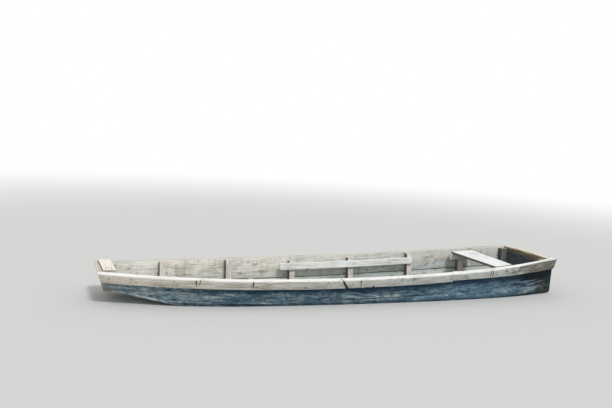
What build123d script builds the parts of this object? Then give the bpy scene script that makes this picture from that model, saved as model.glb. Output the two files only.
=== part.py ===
from build123d import *
from math import hypot
import os

os.makedirs("parts", exist_ok=True)

# Overall frame: bow at -X, stern at +X, starboard at +Y, flat bottom at z = 0
HALF_LENGTH = 2600.0
MAX_HALF_WIDTH = 684.0
BOW_X = -HALF_LENGTH
STERN_X = HALF_LENGTH

# Sheer line, the top of the sides, through three heights
SHEER_BOW = 400.0
SHEER_MID = 369.0
SHEER_STERN = 506.0

# Spare length of the hull lines past each end, also the margin of every cut
OVERRUN = 60.0
LOW = 0.0
HIGH = max(SHEER_BOW, SHEER_STERN) + OVERRUN
END = HALF_LENGTH + OVERRUN
CUT_LOW = LOW - OVERRUN
CUT_HIGH = HIGH + OVERRUN
CUT_WIDTH = MAX_HALF_WIDTH + OVERRUN

# Plan of the rail's outer top edge: x, half width there, outward lean of the side
BOW_HALF_WIDTH = 291.0
STERN_HALF_WIDTH = 464.0
BOW_STATION = 300.0
FORE_STATION = 1600.0
AFT_STATION = 1000.0
WIDEST = (494.0, MAX_HALF_WIDTH, 0.13)
FORE_STATIONS = [
    WIDEST,
    (BOW_X + FORE_STATION, 626.0, 0.13),
    (BOW_X + BOW_STATION, 388.0, 0.14),
    (BOW_X, BOW_HALF_WIDTH, 0.15),
]
AFT_STATIONS = [WIDEST, (STERN_X - AFT_STATION, 648.0, 0.11), (STERN_X, STERN_HALF_WIDTH, 0.05)]

# Underside of the bottom: flat, an arc and a straight ramp to the bow, an arc to the stern
ENTRY_LENGTH = 1800.0
RAMP_LENGTH = 650.0
NOSE_LENGTH = 180.0
RUN_LENGTH = 1550.0
FLAT_FORE_X = BOW_X + ENTRY_LENGTH
RAMP_X, RAMP_Z = BOW_X + RAMP_LENGTH, 107.0
NOSE_X, NOSE_Z = BOW_X + NOSE_LENGTH, 206.0
BOW_END_Z = 211.0
FLAT_AFT_X = STERN_X - RUN_LENGTH
STERN_END_Z = 98.0

# Timber sizes
BOTTOM = 28.0
PLANK = 32.0
RAIL = 56.0
RIB_DEPTH = 70.0
RIB_WIDTH = 66.0
FLOOR_HEIGHT = 46.0
RISER = 28.0
INNER = RAIL + PLANK
RIB_FACE = INNER + RIB_DEPTH

# Side strakes and rails, measured down from the sheer
SEAM_DROP = 232.0
RAIL_DROP = 91.0
AFT_RAIL_DROP_FORE = 78.0
AFT_RAIL_DROP_AFT = 108.0

# Rail joints on each side: scarf top and its slant, gap; then the butt and its gap
SCARF_TOP_X = -237.0
SCARF_SLANT = 0.79
SCARF_GAP = 9.0
BUTT_X = 1070.0
BUTT_GAP = 2.0

# Bow end
BOW_RAKE = 62.0
BOW_BOARD = 30.0
BEAM_WIDTH = 32.0
BEAM_HEIGHT = 70.0
DECK_BACK = 52.0
DECK_WIDTH = 124.0
DECK_THICKNESS = 20.0
DECK_PORT_Y = -212.0
DECK_STARBOARD_Y = 305.0
DECK_SKEW = 0.021

# Stern end; the planks and the starboard rail run on past the transom, the port rail a little further
PLANK_INSET = 8.0
PLANK_END_X = STERN_X - PLANK_INSET
TRANSOM_INSET = 64.0
TRANSOM_X = STERN_X - TRANSOM_INSET
TRANSOM = 46.0
TRANSOM_EASE = 3.0
TRANSOM_RISE = 12.0
TRANSOM_CROWN = 6.0
TRANSOM_SEAM_Z = 300.0
RAIL_STERN_RAKE = 44.0
POST_WIDTH = 80.0
POST_DROP = 8.0

# Bottom planks: name and the y of both edges
BOTTOM_PLANKS = [
    ("bottom_plank_port_outer", -CUT_WIDTH, -372.0),
    ("bottom_plank_port", -372.0, -124.0),
    ("bottom_plank_middle", -124.0, 124.0),
    ("bottom_plank_starboard", 124.0, 372.0),
    ("bottom_plank_starboard_outer", 372.0, CUT_WIDTH),
]

# Frames: number, x of the middle, drop of the rib tops under the sheer
FIRST_FRAME = 707.0
FRAME_STEP = 752.0
LAST_FRAME = 728.0
FRAMES = [
    ("1", BOW_X + FIRST_FRAME, 5.0),
    ("2", BOW_X + FIRST_FRAME + FRAME_STEP, 6.0),
    ("3", -371.0, 37.0),
    ("4", 380.0, 25.0),
    ("5", 1170.0, 10.0),
    ("6", STERN_X - LAST_FRAME, 46.0),
]
FRAME_X = {number: x for number, x, drop in FRAMES}

# Seat riser along frames 3 to 5
RISER_FORE_END = 158.0
RISER_AFT_END = 20.0
RISER_FORE_X = FRAME_X["3"] - RISER_FORE_END
RISER_AFT_X = FRAME_X["5"] + RISER_AFT_END
RISER_DROP = 54.0
RISER_HEIGHT = 72.0

# Stern seat over frame 6; its aft edge runs a little off square
SEAT_FORE_END = 130.0
SEAT_FORE_X = FRAME_X["6"] - SEAT_FORE_END
SEAT_WIDTH = 264.0
SEAT_SKEW = 0.06
SEAT_DROP = 10.0
SEAT_THICKNESS = 28.0
SEAT_RISER_HEIGHT = 74.0
SEAT_RISER_OVERHANG = 20.0


def circle_height(x, x0, z0, x1, z1, x2, z2):
    """Height at x of the circle through three points."""
    a = 2.0 * (x1 - x0)
    b = 2.0 * (z1 - z0)
    c = 2.0 * (x2 - x0)
    d = 2.0 * (z2 - z0)
    e = x1 * x1 + z1 * z1 - x0 * x0 - z0 * z0
    f = x2 * x2 + z2 * z2 - x0 * x0 - z0 * z0
    cx = (e * d - b * f) / (a * d - b * c)
    cz = (a * f - e * c) / (a * d - b * c)
    radius = hypot(x0 - cx, z0 - cz)
    return cz - (radius * radius - (x - cx) ** 2) ** 0.5


def sheer(x):
    return circle_height(x, BOW_X, SHEER_BOW, 0.0, SHEER_MID, STERN_X, SHEER_STERN)


def tangent_arc(start, direction, end):
    """Middle point, its direction and the end direction of the arc that leaves start along direction."""
    cx, cy = end[0] - start[0], end[1] - start[1]
    length = hypot(cx, cy)
    ux, uy = cx / length, cy / length
    along = direction[0] * ux + direction[1] * uy
    across_chord = direction[0] * uy - direction[1] * ux
    rise = 0.5 * length * across_chord / (1.0 + along)
    middle = (0.5 * (start[0] + end[0]) + rise * uy, 0.5 * (start[1] + end[1]) - rise * ux)
    finish = (2.0 * along * ux - direction[0], 2.0 * along * uy - direction[1])
    return middle, (ux, uy), finish


def half_line(stations, height, heading):
    """Points and directions from the widest station to one end, then on past it in a straight line."""
    ends = [(x, width + lean * (height - sheer(x))) for x, width, lean in stations]
    direction = (heading, 0.0)
    points = [(ends[0], direction)]
    for start, end in zip(ends, ends[1:]):
        middle, chord, finish = tangent_arc(start, direction, end)
        points += [(middle, chord), (end, finish)]
        direction = finish
    past = (ends[-1][0] + OVERRUN * direction[0], ends[-1][1] + OVERRUN * direction[1])
    return points + [(past, direction)]


def plan_chain(height):
    """Points and directions of the starboard outer line at one height, bow to stern."""
    fore = [(point, (-tx, -ty)) for point, (tx, ty) in half_line(FORE_STATIONS, height, -1.0)]
    return fore[:0:-1] + half_line(AFT_STATIONS, height, 1.0)


def plan_edges(height, inset, side=1.0):
    """The outer line moved inward by inset, on one side."""
    points = []
    for (x, y), (tx, ty) in plan_chain(height):
        points.append((x + inset * ty, side * (y - inset * tx), height))
    arcs = [ThreePointArc(*points[i:i + 3]) for i in range(1, len(points) - 3, 2)]
    return [Line(points[0], points[1]), *arcs, Line(points[-2], points[-1])]


def closed_face(near_edges, far_edges):
    """Face between two runs of edges that go the same way."""
    fore = Line(near_edges[0] @ 0, far_edges[0] @ 0)
    aft = Line(near_edges[-1] @ 1, far_edges[-1] @ 1)
    return make_face(Wire([*near_edges, aft, *far_edges, fore]))


def wall(outer, inner):
    """Leaning band along the starboard side between two insets."""
    sections = [closed_face(plan_edges(z, outer), plan_edges(z, inner)) for z in (LOW, HIGH)]
    return loft(sections, ruled=True)


def core(inset):
    """Everything between the two sides, up to one inset."""
    sections = [closed_face(plan_edges(z, inset), plan_edges(z, inset, -1.0)) for z in (LOW, HIGH)]
    return loft(sections, ruled=True)


def sheer_edges(drop, x0=-END, x1=END):
    points = [(x, 0.0, sheer(x) - drop) for x in (x0, 0.5 * (x0 + x1), x1)]
    return [ThreePointArc(*points)]


def bottom_edges(lift):
    """Underside line raised by lift, bow to stern."""
    ramp_middle = tangent_arc((FLAT_FORE_X, 0.0), (-1.0, 0.0), (RAMP_X, RAMP_Z))[0]
    stern_middle, chord, slope = tangent_arc((FLAT_AFT_X, 0.0), (1.0, 0.0), (STERN_X, STERN_END_Z))

    def lifted(x, z):
        return (x, 0.0, z + lift)

    stern = lifted(STERN_X, STERN_END_Z)
    return [
        Line(lifted(-END, BOW_END_Z), lifted(NOSE_X, NOSE_Z)),
        Line(lifted(NOSE_X, NOSE_Z), lifted(RAMP_X, RAMP_Z)),
        ThreePointArc(lifted(RAMP_X, RAMP_Z), lifted(*ramp_middle), lifted(FLAT_FORE_X, 0.0)),
        Line(lifted(FLAT_FORE_X, 0.0), lifted(FLAT_AFT_X, 0.0)),
        ThreePointArc(lifted(FLAT_AFT_X, 0.0), lifted(*stern_middle), stern),
        Line(stern, lifted(STERN_X + OVERRUN * slope[0], STERN_END_Z + OVERRUN * slope[1])),
    ]


def profile(lower, upper, outline):
    """Side view shape between two lines, kept inside an outline of x and z points."""
    band = closed_face(lower, upper)
    region = make_face(Polyline([(x, 0.0, z) for x, z in outline], close=True))
    return band & region


def across(face):
    """Side view shape run through both sides."""
    return extrude(face, amount=CUT_WIDTH, dir=(0.0, 1.0, 0.0), both=True)


def outward(face):
    """Side view shape run through the starboard side alone."""
    return extrude(face, amount=CUT_WIDTH, dir=(0.0, 1.0, 0.0))


def block(x0, x1):
    """Outline between two x values, over the full height."""
    return [(x0, CUT_LOW), (x1, CUT_LOW), (x1, CUT_HIGH), (x0, CUT_HIGH)]


def strip(y0, y1):
    """Box between two y values, over the full length and height."""
    return Pos(0.0, 0.5 * (y0 + y1), 0.0) * Box(2.0 * END, y1 - y0, 2.0 * CUT_HIGH)


def upright(outline):
    """Prism over a plan outline of x and y points."""
    return extrude(make_face(Polyline([(x, y, 0.0) for x, y in outline], close=True)), amount=CUT_HIGH)


def bow_x(z, back=0.0):
    """Leaning plane of the bow, moved aft by back."""
    rake = BOW_RAKE / (SHEER_BOW - BOW_END_Z)
    return BOW_X + rake * (SHEER_BOW - z) + back


def from_bow(back, x1):
    """Outline from the leaning bow plane to x1."""
    front = [(bow_x(z, back), z) for z in (CUT_HIGH, CUT_LOW)]
    return front + [(x1, CUT_LOW), (x1, CUT_HIGH)]


def bow_slice(back, thickness):
    """Outline of a slice along the leaning bow plane."""
    front = [(bow_x(z, back), z) for z in (CUT_HIGH, CUT_LOW)]
    return front + [(bow_x(z, back + thickness), z) for z in (CUT_LOW, CUT_HIGH)]


def mirrored(shape):
    return mirror(shape, about=Plane.XZ)


def save(name, shape):
    solids = shape.solids()
    if len(solids) != 1:
        raise ValueError(name + " has " + str(len(solids)) + " solids")
    solid = solids[0]
    export_step(solid, "parts/" + name + ".step")
    box = solid.bounding_box()
    print(name, round(solid.volume / 1000.0), "cm3", [round(v) for v in (*box.min, *box.max)])


def save_pair(name, shape):
    save("starboard_" + name, shape)
    save("port_" + name, mirrored(shape))


def bottom_planks():
    hull = core(RAIL) & across(profile(bottom_edges(0.0), bottom_edges(BOTTOM), from_bow(0.0, PLANK_END_X)))
    for name, y0, y1 in BOTTOM_PLANKS:
        save(name, hull & strip(y0, y1))


def side_planks():
    side = wall(RAIL, INNER)
    both = profile(bottom_edges(BOTTOM), sheer_edges(0.0), from_bow(BOW_BOARD, PLANK_END_X))
    below = closed_face(sheer_edges(CUT_HIGH), sheer_edges(SEAM_DROP))
    save_pair("upper_plank", side & outward(both - below))
    save_pair("lower_plank", side & outward(both & below))


def scarf_x(z):
    """Slanting cut between the fore and middle rails."""
    return SCARF_TOP_X + SCARF_SLANT * (sheer(SCARF_TOP_X) - z)


def rails():
    side = wall(0.0, RAIL)
    band = [sheer_edges(RAIL_DROP), sheer_edges(0.0)]
    cut = [(scarf_x(CUT_LOW), CUT_LOW), (scarf_x(CUT_HIGH), CUT_HIGH)]
    fore = [(bow_x(CUT_HIGH), CUT_HIGH), (bow_x(CUT_LOW), CUT_LOW)] + cut
    middle = [(x + SCARF_GAP, z) for x, z in cut[::-1]] + [(BUTT_X, CUT_LOW), (BUTT_X, CUT_HIGH)]
    save_pair("rail_fore", side & outward(profile(*band, fore)))
    save_pair("rail_middle", side & outward(profile(*band, middle)))
    aft_x0 = BUTT_X + BUTT_GAP
    drops = [
        (aft_x0, AFT_RAIL_DROP_FORE),
        (0.5 * (aft_x0 + STERN_X), 0.5 * (AFT_RAIL_DROP_FORE + AFT_RAIL_DROP_AFT)),
        (STERN_X, AFT_RAIL_DROP_AFT),
    ]
    lower = [ThreePointArc(*[(x, 0.0, sheer(x) - drop) for x, drop in drops])]
    upper = sheer_edges(0.0, aft_x0, STERN_X)
    slant = RAIL_STERN_RAKE / AFT_RAIL_DROP_AFT
    foot_x = STERN_X - slant * (SHEER_STERN - CUT_LOW)
    aft = [(aft_x0, CUT_LOW), (foot_x, CUT_LOW), (STERN_X, SHEER_STERN), (aft_x0, CUT_HIGH)]
    save("port_rail_aft", mirrored(side & outward(profile(lower, upper, aft))))
    save("starboard_rail_aft", side & outward(profile(lower, upper, block(aft_x0, PLANK_END_X))))


def bow_end():
    board = bow_slice(0.0, BOW_BOARD)
    beam = bow_slice(BOW_BOARD, BEAM_WIDTH)
    save("bow_board", core(RAIL) & across(profile(bottom_edges(BOTTOM), sheer_edges(0.0), board)))
    save("bow_beam", core(INNER) & across(profile(sheer_edges(BEAM_HEIGHT), sheer_edges(0.0), beam)))
    x0, turn = BOW_X + DECK_BACK, DECK_SKEW * (DECK_STARBOARD_Y - DECK_PORT_Y)
    port = [(x0, DECK_PORT_Y), (x0 + DECK_WIDTH, DECK_PORT_Y)]
    starboard = [(x - turn, DECK_STARBOARD_Y) for x, y in port[::-1]]
    band = profile(sheer_edges(0.0), sheer_edges(-DECK_THICKNESS), block(x0 - turn, x0 + DECK_WIDTH))
    save("bow_deck", across(band) & upright(port + starboard))


def eased(board):
    """Board with the corners of its outer face taken off."""
    face = board.faces().sort_by(Axis.X)[-1]
    return chamfer(face.edges(), TRANSOM_EASE)


def stern_end():
    inside = core(INNER)
    plate = block(TRANSOM_X - TRANSOM, TRANSOM_X)
    upper = across(make_face(Polyline([(x, 0.0, max(z, TRANSOM_SEAM_Z)) for x, z in plate], close=True)))
    edge_z = sheer(TRANSOM_X) + TRANSOM_RISE
    half = STERN_HALF_WIDTH - RAIL
    crown = [ThreePointArc((0.0, -half, edge_z), (0.0, 0.0, edge_z + TRANSOM_CROWN), (0.0, half, edge_z))]
    base = [Line((0.0, -half, 0.0), (0.0, half, 0.0))]
    arched = extrude(closed_face(base, crown), amount=END, dir=(1.0, 0.0, 0.0))
    seam = [Line((-END, 0.0, TRANSOM_SEAM_Z), (END, 0.0, TRANSOM_SEAM_Z))]
    save("transom_upper", eased(inside & upper & arched))
    save("transom_lower", eased(inside & across(profile(bottom_edges(BOTTOM), seam, plate))))
    place = block(TRANSOM_X - TRANSOM - POST_WIDTH, TRANSOM_X - TRANSOM)
    post = outward(profile(bottom_edges(BOTTOM), sheer_edges(POST_DROP), place))
    save_pair("stern_post", wall(INNER, RIB_FACE) & post)


def frames():
    rib_wall = wall(INNER, RIB_FACE)
    inside = core(RIB_FACE)
    for number, x, drop in FRAMES:
        slab = block(x - 0.5 * RIB_WIDTH, x + 0.5 * RIB_WIDTH)
        room = inside & across(make_face(Polyline([(end, 0.0, z) for end, z in slab], close=True)))
        rib = outward(profile(bottom_edges(BOTTOM), sheer_edges(drop), slab))
        floor = across(profile(bottom_edges(BOTTOM), bottom_edges(BOTTOM + FLOOR_HEIGHT), slab))
        save_pair("rib_" + number, rib_wall & rib)
        save("floor_" + number, room & floor)


def seat_side(top_depth, foot_depth, x0, x1):
    """Side view of a piece of the seat, at two depths under the seat's top."""
    slope = (sheer(SEAT_FORE_X + SEAT_WIDTH) - sheer(SEAT_FORE_X)) / SEAT_WIDTH
    front = sheer(SEAT_FORE_X) - SEAT_DROP
    corners = [(x0, foot_depth), (x1, foot_depth), (x1, top_depth), (x0, top_depth)]
    points = [(x, 0.0, front + slope * (x - SEAT_FORE_X) - depth) for x, depth in corners]
    return make_face(Polyline(points, close=True))


def seat():
    riser_wall = wall(RIB_FACE, RIB_FACE + RISER)
    band = [sheer_edges(RISER_DROP + RISER_HEIGHT), sheer_edges(RISER_DROP)]
    save_pair("riser", riser_wall & outward(profile(*band, block(RISER_FORE_X, RISER_AFT_X))))
    fore, aft = SEAT_FORE_X - SEAT_RISER_OVERHANG, SEAT_FORE_X + SEAT_WIDTH + SEAT_RISER_OVERHANG
    cleat = seat_side(SEAT_THICKNESS, SEAT_THICKNESS + SEAT_RISER_HEIGHT, fore, aft)
    save_pair("seat_riser", riser_wall & outward(cleat))
    starboard, port = [(SEAT_FORE_X + SEAT_WIDTH + SEAT_SKEW * y, y) for y in (CUT_WIDTH, -CUT_WIDTH)]
    outline = [(SEAT_FORE_X, -CUT_WIDTH), port, starboard, (SEAT_FORE_X, CUT_WIDTH)]
    board = across(seat_side(0.0, SEAT_THICKNESS, SEAT_FORE_X, starboard[0]))
    save("stern_seat", core(RIB_FACE) & board & upright(outline))


bottom_planks()
side_planks()
rails()
bow_end()
stern_end()
frames()
seat()
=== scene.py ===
from math import cos, pi, radians, sin

import bmesh
import bpy
from mathutils import Matrix, Vector


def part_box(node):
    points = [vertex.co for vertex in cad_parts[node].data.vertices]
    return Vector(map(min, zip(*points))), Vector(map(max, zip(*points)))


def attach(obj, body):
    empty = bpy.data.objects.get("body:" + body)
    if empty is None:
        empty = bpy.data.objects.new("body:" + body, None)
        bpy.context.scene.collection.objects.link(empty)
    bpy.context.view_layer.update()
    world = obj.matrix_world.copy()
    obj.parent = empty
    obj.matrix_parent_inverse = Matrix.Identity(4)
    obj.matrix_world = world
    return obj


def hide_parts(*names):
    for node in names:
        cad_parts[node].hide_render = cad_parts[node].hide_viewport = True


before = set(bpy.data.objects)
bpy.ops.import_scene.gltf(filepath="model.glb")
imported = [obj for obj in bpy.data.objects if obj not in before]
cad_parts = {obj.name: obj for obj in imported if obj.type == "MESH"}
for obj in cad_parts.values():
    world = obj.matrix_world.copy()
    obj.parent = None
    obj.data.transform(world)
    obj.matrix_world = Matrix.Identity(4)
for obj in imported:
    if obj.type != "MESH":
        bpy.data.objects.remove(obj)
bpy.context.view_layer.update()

# all lengths are in metres; x runs from bow to stern, y to starboard, z up from the flat bottom
boat = {
    "waterline": 0.085,                          # where the stage's floor lies
    "sheer": (0.369, 0.0204, 0.01243),           # height of the top edge: powers of x
    "halfWidth": (0.6773, 0.0210, -0.0225,
                  0.00495, -0.00325, -0.00046),  # plan of the rails' outer edge: powers of x
    "frames": (-1.893, -1.141, -0.371, 0.380, 1.170, 1.872),
    "seamDrop": 0.232,                           # seam of the two side planks, below the top edge
    "railMiddle": 0.045,                         # middle of the rails' faces, below the top edge
    "floorSeams": (0.124, 0.372),                # seams of the bottom, from the middle line
}
sides = {"port": -1.0, "starboard": 1.0}


def sheerAt(x):
    a, b, c = boat["sheer"]
    return a + b * x + c * x * x


def ink(code):
    # a screen colour such as #a0b0c0 as the shader wants it
    parts = [int(code[i:i + 2], 16) / 255 for i in (1, 3, 5)]
    linear = [p / 12.92 if p <= 0.04045 else ((p + 0.055) / 1.055) ** 2.4 for p in parts]
    return tuple(linear) + (1.0,)


# camera

view = {
    "spot": (-3.085, -7.051, 1.877),
    "yaw": 20.64,                      # degrees from +Y towards +X
    "pitch": 6.20,                     # degrees down
    "roll": 3.26,                      # degrees, left side of the picture down
    "focalPixels": 700.0,
    "imageWidth": 612.0,
    "sensor": 36.0,
}


def addCamera():
    data = bpy.data.cameras.new("viewCamera")
    data.sensor_width = view["sensor"]
    data.lens = view["focalPixels"] / view["imageWidth"] * view["sensor"]
    camera = bpy.data.objects.new("viewCamera", data)
    bpy.context.scene.collection.objects.link(camera)
    yaw = Matrix.Rotation(radians(-view["yaw"]), 4, "Z")
    pitch = Matrix.Rotation(radians(90.0 - view["pitch"]), 4, "X")
    roll = Matrix.Rotation(radians(view["roll"]), 4, "Z")
    camera.matrix_world = Matrix.Translation(view["spot"]) @ (yaw @ pitch) @ roll
    bpy.context.scene.camera = camera


addCamera()
print("camera ready")


# finishes

class Wire:
    # a socket that Python's own signs add Math nodes to
    def __init__(self, owner, socket):
        self.owner = owner
        self.socket = socket

    def maths(self, operation, first, second):
        return self.owner.node("ShaderNodeMath", {"operation": operation}, {0: first, 1: second})

    def __add__(self, other):
        return self.maths("ADD", self, other)

    def __sub__(self, other):
        return self.maths("SUBTRACT", self, other)

    def __rsub__(self, other):
        return self.maths("SUBTRACT", other, self)

    def __mul__(self, other):
        return self.maths("MULTIPLY", self, other)

    def __abs__(self):
        return self.owner.node("ShaderNodeMath", {"operation": "ABSOLUTE"}, {0: self})

    __radd__ = __add__
    __rmul__ = __mul__


class NodeTree:
    def __init__(self, tree):
        self.tree = tree

    def node(self, kind, settings=None, values=None, output=0):
        made = self.tree.nodes.new(kind)
        for key, value in (settings or {}).items():
            setattr(made, key, value)
        for key, value in (values or {}).items():
            if isinstance(value, Wire):
                self.tree.links.new(value.socket, made.inputs[key])
            else:
                made.inputs[key].default_value = value
        return Wire(self, made.outputs[output])

    def step(self, value, low, high):
        # 0 below low, 1 above high, smooth between them
        return self.node("ShaderNodeMapRange", {"interpolation_type": "SMOOTHSTEP"}, {
            "Value": value, "From Min": low, "From Max": high})

    def seen(self):
        # 1 where the camera sees this directly, in a mirror or through glass
        rays = [self.node("ShaderNodeLightPath", output=name)
                for name in ("Is Camera Ray", "Is Glossy Ray", "Is Transmission Ray")]
        return self.step(rays[0] + rays[1] + rays[2], 0.0, 1.0)

    def surface(self, shader, outputName):
        self.tree.links.new(shader.socket, self.tree.nodes[outputName].inputs["Surface"])


everyFinish = {
    "shine": 0.3,                # specular level, unless a finish has its own
    "bump": 0.6,
    "noiseRoughness": 0.6,
    "outwardFace": (0.2, 0.5),   # how squarely a face looks away from the middle line
    "middleLine": 0.01,          # port changes to starboard within this
    "starboardShift": 6.0,       # sets the starboard side's patterns apart from the port side's
}


class Finish(NodeTree):
    def __init__(self, name):
        self.material = bpy.data.materials.new(name)
        self.material.use_nodes = True
        super().__init__(self.material.node_tree)
        self.shader = self.tree.nodes["Principled BSDF"]
        self.place = self.node("ShaderNodeTexCoord", output="Object")
        facing = self.node("ShaderNodeTexCoord", output="Normal")
        self.x, self.y, self.z = self.split(self.place)
        self.faceX, self.faceY, self.faceZ = self.split(facing)

    def split(self, vector):
        return [self.node("ShaderNodeSeparateXYZ", {}, {0: vector}, i) for i in range(3)]

    def noise(self, scale, stretch=(1.0, 1.0, 1.0), detail=4.0, warp=0.0, shift=(0.0, 0.0, 0.0)):
        spot = self.node("ShaderNodeMapping", {}, {
            "Vector": self.place, "Location": shift, "Scale": stretch})
        return self.node("ShaderNodeTexNoise", {}, {
            "Vector": spot, "Scale": scale, "Detail": detail, "Distortion": warp,
            "Roughness": everyFinish["noiseRoughness"]})

    def blend(self, amount, first, second):
        return self.node("ShaderNodeMix", {"data_type": "RGBA"}, {
            0: amount, 6: first, 7: second}, 2)

    def tint(self, colour, amount, code):
        # one more tone over a colour
        return self.blend(amount, colour, ink(code))

    def near(self, value, centre, reach):
        # 1 at the centre, 0 beyond the reach
        return 1.0 - self.step(abs(value - centre), 0.0, reach)

    def belowTop(self):
        a, b, c = boat["sheer"]
        return self.x * b + self.x * self.x * c + a - self.z

    def followHull(self):
        # from here on the patterns follow the curved sides: x, how far out, down from the top edge
        *rest, width = boat["halfWidth"]
        for factor in reversed(rest):
            width = width * self.x + factor
        self.offEdge = abs(self.y) - width
        self.place = self.node("ShaderNodeCombineXYZ", {}, {
            0: self.x + everyFinish["starboardShift"] * self.starboard(),
            1: self.offEdge, 2: self.belowTop() * -1.0})

    def starboard(self):
        return self.step(self.y, -everyFinish["middleLine"], everyFinish["middleLine"])

    def outward(self):
        # 1 on faces that look away from the boat's middle line
        side = self.node("ShaderNodeMath", {"operation": "SIGN"}, {0: self.y})
        return self.step(side * self.faceY, *everyFinish["outwardFace"])

    def done(self, colour, roughness, height, depth, shine=everyFinish["shine"]):
        self.tree.links.new(colour.socket, self.shader.inputs["Base Color"])
        self.tree.links.new(roughness.socket, self.shader.inputs["Roughness"])
        relief = self.node("ShaderNodeBump", {}, {
            "Height": height, "Strength": everyFinish["bump"], "Distance": depth})
        self.tree.links.new(relief.socket, self.shader.inputs["Normal"])
        self.shader.inputs["Specular IOR Level"].default_value = shine
        return self.material


def sway(noise, size):
    # a noise as a shift to either side
    return size * (noise - 0.5)


grain = {
    "streak": {"scale": 2.4, "detail": 6.0, "warp": 0.3}, "streakFine": 13.0,
    "fibre": {"scale": 7.0}, "fibreFine": 17.0,
    "patch": {"scale": 2.3},
    "line": {"scale": 1.5, "detail": 3.0, "warp": 0.4, "shift": (3.1, 1.7, 0.4)}, "lineFine": 20.0,
    "checkWidth": (0.004, 0.016), "checkWhere": (0.46, 0.58),
    "midWhere": (0.38, 0.56), "paleWhere": (0.46, 0.64), "paleShare": 0.7,
    "stainWhere": (0.5, 0.72),
}


def woodParts(finish, axis, look):
    # the tones and the relief that every bare board has
    def along(fine):
        return tuple(1.0 if i == axis else fine for i in range(3))

    streak = finish.noise(stretch=along(grain["streakFine"]), **grain["streak"])
    fibre = finish.noise(stretch=along(grain["fibreFine"]), **grain["fibre"])
    patch = finish.noise(**grain["patch"])
    line = abs(finish.noise(stretch=along(grain["lineFine"]), **grain["line"]) - 0.5)
    check = 1.0 - finish.step(line, *grain["checkWidth"])
    check = check * finish.step(patch, *grain["checkWhere"])
    colour = finish.tint(ink(look["dark"]), finish.step(streak, *grain["midWhere"]), look["mid"])
    pale = finish.step(fibre, *grain["paleWhere"]) * grain["paleShare"]
    colour = finish.tint(colour, pale, look["pale"])
    stained = finish.step(patch, *grain["stainWhere"]) * look["stained"]
    colour = finish.tint(colour, stained, look["stain"])
    return streak, fibre, patch, check, colour


bareBoard = {
    "topFace": (0.35, 0.85), "rubbedWhere": (0.52, 0.74), "rubbed": 0.35,
    "endFace": (0.7, 0.95), "endShare": 0.55, "crackShare": 0.75,
    "foreFace": (0.5, 0.8), "foreShare": 0.88,
    "roughness": 0.82, "streakRoughness": 0.14, "ridge": 0.5, "crackDepth": 1.2, "relief": 0.0035,
}


def weatheredWood(name, axis, look):
    finish = Finish(name)
    if axis == 0:
        finish.followHull()
    streak, fibre, patch, check, colour = woodParts(finish, axis, look)
    rubbed = bareBoard["rubbed"] * finish.step(streak, *bareBoard["rubbedWhere"])
    upward = finish.step(finish.faceZ, *bareBoard["topFace"]) * (1.0 - rubbed)
    colour = finish.tint(colour, upward * look["bleached"], look["top"])
    endFacing = abs((finish.faceX, finish.faceY, finish.faceZ)[axis])
    endOf = finish.step(endFacing, *bareBoard["endFace"])
    colour = finish.tint(colour, endOf * bareBoard["endShare"], look["end"])
    check = check * (1.0 - endOf)
    colour = finish.tint(colour, check * bareBoard["crackShare"], look["crack"])
    # faces that look towards the bow are darkened: painted shade on the side away from the light
    if "foreEdge" in look:
        fore = finish.step(finish.faceX * -1.0, *bareBoard["foreFace"])
        colour = finish.tint(colour, fore * bareBoard["foreShare"], look["foreEdge"])
    height = fibre * bareBoard["ridge"] + streak * bareBoard["ridge"]
    height = height - check * bareBoard["crackDepth"]
    roughness = bareBoard["roughness"] + bareBoard["streakRoughness"] * streak
    return finish.done(colour, roughness, height, bareBoard["relief"])


# the dark colour for faces that look towards the bow, where a board has one, is painted shade
woods = {
    "riser": {"dark": "#cdd1cd", "mid": "#e4e8e5", "pale": "#f0f2f0", "stain": "#c9c9be",
              "stained": 0.35, "top": "#e6e8e5", "bleached": 0.6, "end": "#a7a397",
              "crack": "#6b6d67"},
    "rib": {"dark": "#bdb6ae", "mid": "#d9d3cc", "pale": "#ebe6e1", "stain": "#aca197",
            "stained": 0.4, "top": "#d9d6cf", "bleached": 0.5, "end": "#a89f90",
            "crack": "#5c564c", "foreEdge": "#4f524d"},
    "floor": {"dark": "#858277", "mid": "#9c998e", "pale": "#b2afa4", "stain": "#6f6b60",
              "stained": 0.6, "top": "#adaba0", "bleached": 0.5, "end": "#78746a",
              "crack": "#4a473f"},
    "seat": {"dark": "#8d887b", "mid": "#a7a396", "pale": "#bebaae", "stain": "#857b69",
             "stained": 0.5, "top": "#e0e2e1", "bleached": 1.0, "end": "#9a9283",
             "crack": "#5e5b52", "foreEdge": "#6c6453"},
    "deck": {"dark": "#aaa595", "mid": "#c2bdae", "pale": "#d6d2c5", "stain": "#a89f8b",
             "stained": 0.5, "top": "#e5e1d7", "bleached": 0.95, "end": "#a89f8d",
             "crack": "#635d50", "foreEdge": "#4c473f"},
    "bow": {"dark": "#8a867c", "mid": "#a09b8f", "pale": "#b5b1a5", "stain": "#7d7667",
            "stained": 0.5, "top": "#cfc8b8", "bleached": 0.9, "end": "#8c8474",
            "crack": "#56524a"},
    "post": {"dark": "#50544e", "mid": "#656861", "pale": "#7c7f76", "stain": "#5a514a",
             "stained": 0.5, "top": "#a39d8b", "bleached": 0.8, "end": "#7c7566",
             "crack": "#302f2b", "foreEdge": "#474c47"},
}


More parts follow.
